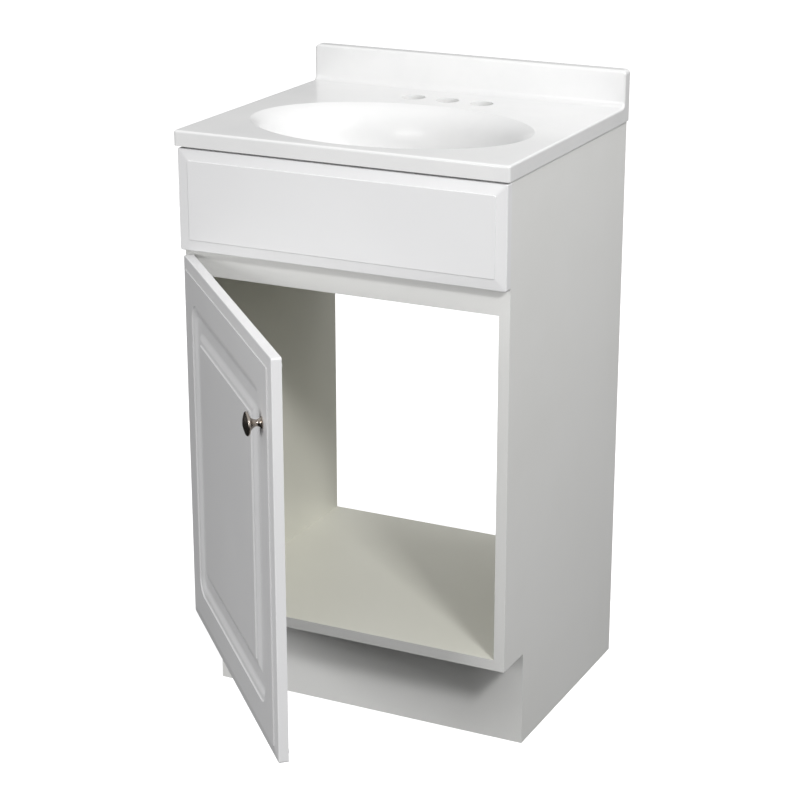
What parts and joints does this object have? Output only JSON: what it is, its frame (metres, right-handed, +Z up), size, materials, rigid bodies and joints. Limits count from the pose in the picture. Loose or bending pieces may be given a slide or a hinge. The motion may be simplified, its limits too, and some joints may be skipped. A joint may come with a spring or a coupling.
{
  "type": "bathroom vanity cabinet",
  "caption": "Small white bathroom vanity cabinet with a cast top, integral oval bowl, fixed false drawer front and a left-hung overlay door on concealed hinges.",
  "frame": {"origin": "on the floor, at the middle of the width and the middle of the toe-kick board's thickness", "axes": "+Z up, +Y towards the wall behind, +X to the right seen from the front; the door stands 46.6 degrees open"},
  "size_m": [0.47, 0.736, 0.857],
  "materials": {
    "cast_top": "gloss white gelcoat on cast marble",
    "white_board": "white melamine on particle board",
    "white_front": "satin white foil on fibreboard",
    "bare_wood": "bare wood",
    "plated_steel": "bright nickel or zinc plate",
    "satin_nickel": "satin nickel",
    "clear_rubber": "frosted"
  },
  "bodies": {
    "cabinet": {"vanity_top": "cast_top", "side_panel_left": "white_board", "side_panel_right": "white_board", "floor_panel": "white_board", "front_rail": "white_board", "back_rail": "white_board", "toe_kick_board": "white_board", "dowels": "bare_wood", "corner_blocks": "bare_wood", "false_front": "white_front", "hinge_plate_lower": "plated_steel", "hinge_plate_upper": "plated_steel", "hinge_arm_lower": "plated_steel", "hinge_arm_upper": "plated_steel", "hinge_plate_screws": "plated_steel", "hinge_arm_screws": "plated_steel", "hinge_link_pins": "plated_steel", "kick_brackets": "plated_steel", "kick_bracket_screws": "plated_steel", "false_front_screws": "plated_steel", "cam_locks": "plated_steel", "cam_bolts": "plated_steel"},
    "door": {"door": "white_front", "knob": "satin_nickel", "knob_screw": "plated_steel", "door_bumpers": "clear_rubber", "hinge_cup_lower": "plated_steel", "hinge_cup_upper": "plated_steel", "hinge_cup_screws": "plated_steel"},
    "hinge_links": {"hinge_link_lower": "plated_steel", "hinge_link_upper": "plated_steel"}
  },
  "joints": [
    {"name": "door_hinge", "type": "hinge", "parent": "cabinet", "child": "door", "pos_m": [-0.2249, -0.0865, 0.38725], "axis": [0, 0, -1], "range_deg": [-46.6, 58.4]},
    {"name": "hinge_link_turn", "type": "hinge", "parent": "cabinet", "child": "hinge_links", "pos_m": [-0.1976, -0.0771, 0.38725], "axis": [0, 0, -1], "range_deg": [-24, 19]}
  ],
  "couplings": [
    {"joint": "hinge_link_turn", "follows": "door_hinge", "ratio": -0.39}
  ]
}
